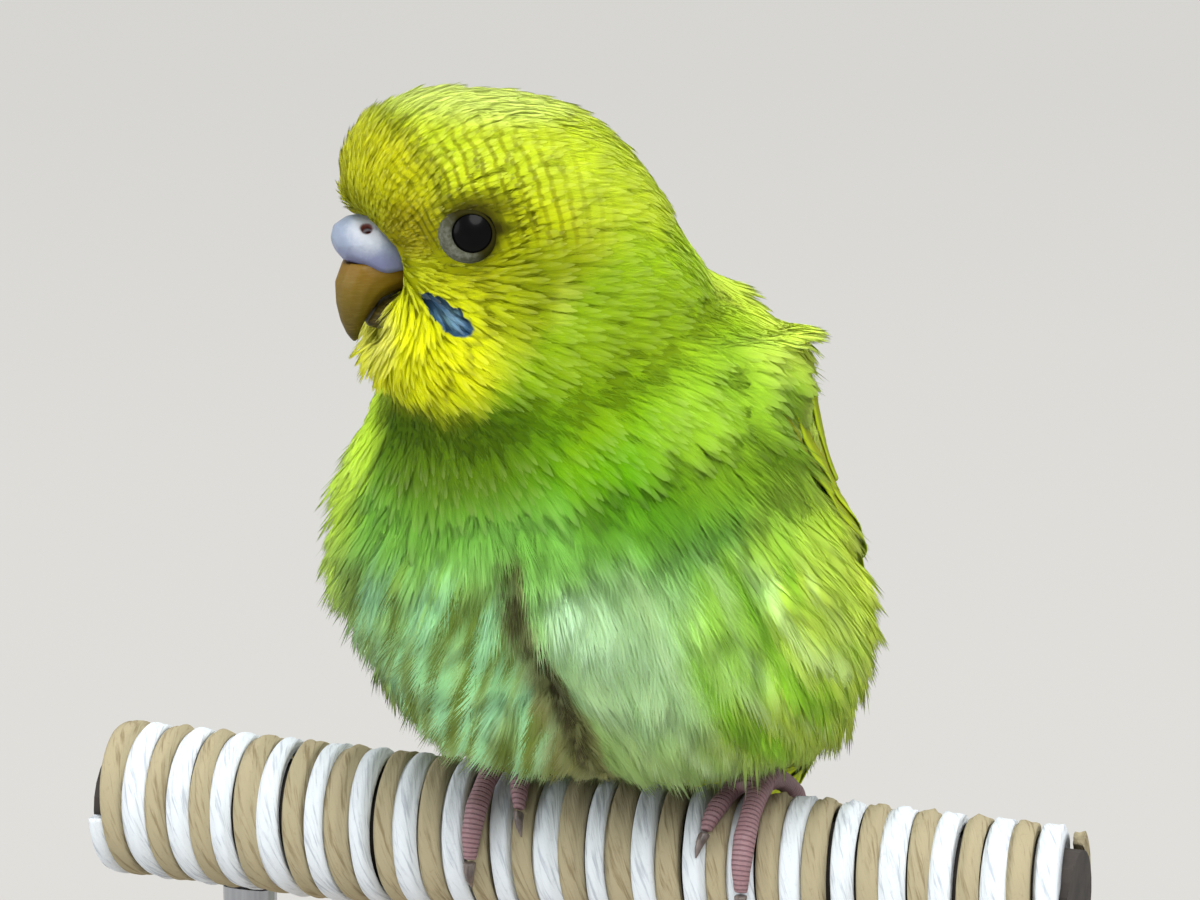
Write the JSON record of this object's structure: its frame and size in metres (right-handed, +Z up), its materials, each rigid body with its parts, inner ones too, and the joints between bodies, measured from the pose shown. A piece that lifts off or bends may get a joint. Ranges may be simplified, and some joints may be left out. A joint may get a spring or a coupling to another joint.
{
  "type": "budgerigar model",
  "caption": "Life-size still model of a fluffed-up budgerigar gripping a cord-wrapped bar on a flat display stand.",
  "frame": {"origin": "middle of the underside of the stand's round base", "axes": "+Z up; the bird's breast faces -Y and its head is turned to its own right; the bar runs along X"},
  "size_m": [0.114, 0.112, 0.1794],
  "materials": {
    "head_feathers": "soft feathers, yellow with faint olive bars",
    "body_feathers": "soft feathers, green, paler below",
    "wing_feathers": "close feathers, yellow-green with faint scallops",
    "tail_feathers": "stiff feathers, pale yellow-green",
    "cere": "bare waxy skin, pale lilac",
    "bill": "horn, smooth, amber to olive",
    "eye": "wet black",
    "foot_skin": "scaled skin, greyish pink",
    "claw": "horn, dark grey-pink",
    "perch_core": "dark, dull",
    "white_cord": "twisted paper cord, white",
    "tan_cord": "twisted paper cord, light brown",
    "stand_wood": "satin lacquer",
    "stand_metal": "brushed"
  },
  "bodies": {
    "root": {"head": "head_feathers", "neck": "body_feathers", "torso": "body_feathers", "tail": "tail_feathers", "wing_left": "wing_feathers", "wing_right": "wing_feathers", "cere": "cere", "upper_bill": "bill", "lower_bill": "bill", "eye_left": "eye", "eye_right": "eye", "foot_left": "foot_skin", "foot_right": "foot_skin", "perch_core": "perch_core", "perch_cord_white": "white_cord", "perch_cord_tan": "tan_cord", "stand_base": "stand_wood", "stand_rod_left": "stand_metal", "stand_rod_right": "stand_metal", "claw_left_inner_front": "claw", "claw_left_outer_front": "claw", "claw_left_outer_back": "claw", "claw_left_inner_back": "claw", "claw_right_inner_front": "claw", "claw_right_outer_front": "claw", "claw_right_outer_back": "claw", "claw_right_inner_back": "claw"}
  },
  "joints": []
}
